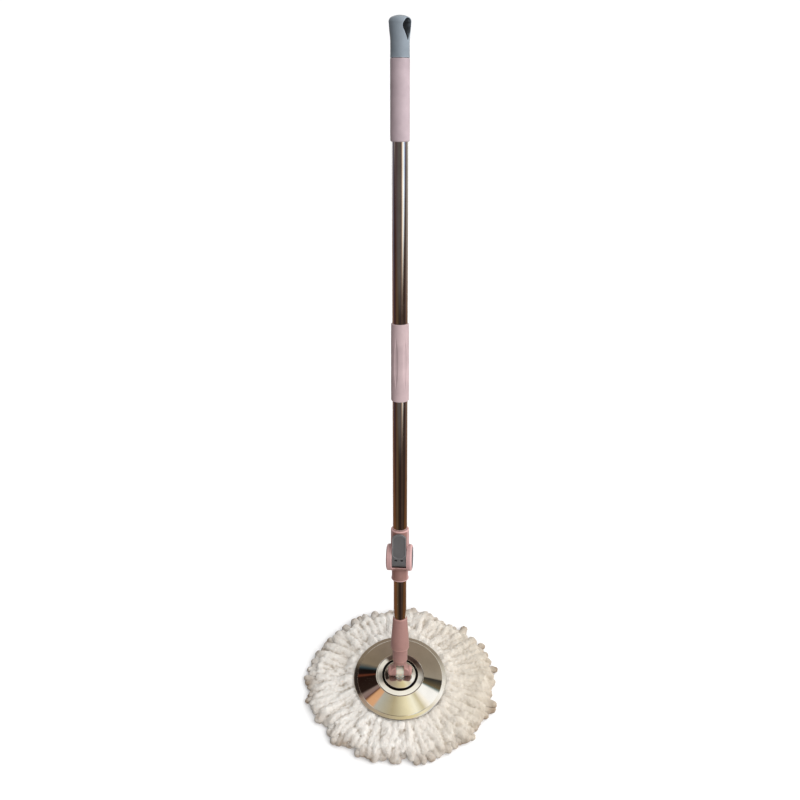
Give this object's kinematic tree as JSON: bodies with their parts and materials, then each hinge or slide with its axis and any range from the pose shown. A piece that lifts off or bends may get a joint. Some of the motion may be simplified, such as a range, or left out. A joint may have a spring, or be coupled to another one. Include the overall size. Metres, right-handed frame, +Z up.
{
  "type": "spin mop",
  "caption": "Spin mop standing on a round microfibre fringe head, with a pressed steel plate, a leaning telescopic pole, pink grips, a lever lock and a hanging cap.",
  "frame": {"origin": "on the floor under the centre of the head's steel plate", "axes": "+Z up; the pole leans towards +Y; the lock lever faces -Y; +X is the right-hand side seen from the lever side"},
  "size_m": [0.33, 0.5784, 0.9931],
  "materials": {
    "fringe": "ivory microfibre strands",
    "plate_steel": "mirror polished pressed steel",
    "tube_steel": "mirror polished thin tube",
    "hardware": "plain steel",
    "strip_steel": "rolled strip",
    "nut_brass": "machined",
    "pink_plastic": "dusty pink, fine grain",
    "grey_plastic": "blue-grey, fine grain",
    "dark_plastic": "dark grey",
    "nylon": "natural nylon"
  },
  "bodies": {
    "refill": {"fringe": "fringe", "refill_ring": "dark_plastic"},
    "plate": {"steel_plate": "plate_steel", "plate_base": "dark_plastic", "thrust_washer": "hardware"},
    "swivel": {"swivel_link": "nylon", "retaining_washer": "hardware", "swivel_screw": "hardware"},
    "shaft": {"fork_socket": "pink_plastic", "fork_pin": "hardware", "socket_rivet": "hardware", "lower_tube": "tube_steel", "clutch_housing": "nylon", "drive_nut": "nut_brass", "clutch_cap": "dark_plastic"},
    "guide": {"guide_bush": "nylon"},
    "pole": {"mid_tube": "tube_steel", "anchor_plug": "nylon", "anchor_pin": "hardware", "drive_strip": "strip_steel", "strip_stop": "dark_plastic", "mid_grip": "pink_plastic", "upper_tube": "tube_steel", "handle_plug": "nylon", "top_grip": "pink_plastic", "hang_cap": "grey_plastic", "lock_housing": "pink_plastic", "pivot_caps": "grey_plastic", "lever_pin": "hardware"},
    "lever": {"lock_lever": "grey_plastic"},
    "pad": {"clamp_pad": "dark_plastic"}
  },
  "joints": [
    {"name": "plate_release", "type": "slide", "parent": "refill", "child": "plate", "axis": [0, 0, 1], "range_m": [0, 0.06]},
    {"name": "head_swivel", "type": "hinge", "parent": "plate", "child": "swivel", "pos_m": [0, 0, 0.0362], "axis": [0, 0, 1], "continuous": true},
    {"name": "handle_tilt", "type": "hinge", "parent": "swivel", "child": "shaft", "pos_m": [0, 0, 0.047], "axis": [1, 0, 0], "range_deg": [-56, 104]},
    {"name": "pole_slide", "type": "slide", "parent": "shaft", "child": "guide", "axis": [0, 0.4067, 0.9135], "range_m": [0, 0.2]},
    {"name": "drive_spin", "type": "hinge", "parent": "guide", "child": "pole", "pos_m": [0, 0.12202, 0.32106], "axis": [0, 0.4067, 0.9135], "range_deg": [-1, 721]},
    {"name": "lock_lever_turn", "type": "hinge", "parent": "pole", "child": "lever", "pos_m": [-0.00153, 0.06903, 0.25599], "axis": [0.9976, -0.0637, 0.0284], "range_deg": [0, 100]},
    {"name": "clamp_pad_slide", "type": "slide", "parent": "pole", "child": "pad", "axis": [-0.0698, -0.9113, 0.4057], "range_m": [0, 0.0013]}
  ],
  "couplings": [
    {"joint": "drive_spin", "follows": "pole_slide", "rad_per_m": 62.832},
    {"joint": "clamp_pad_slide", "follows": "lock_lever_turn", "m_per_rad": 0.00068755}
  ]
}
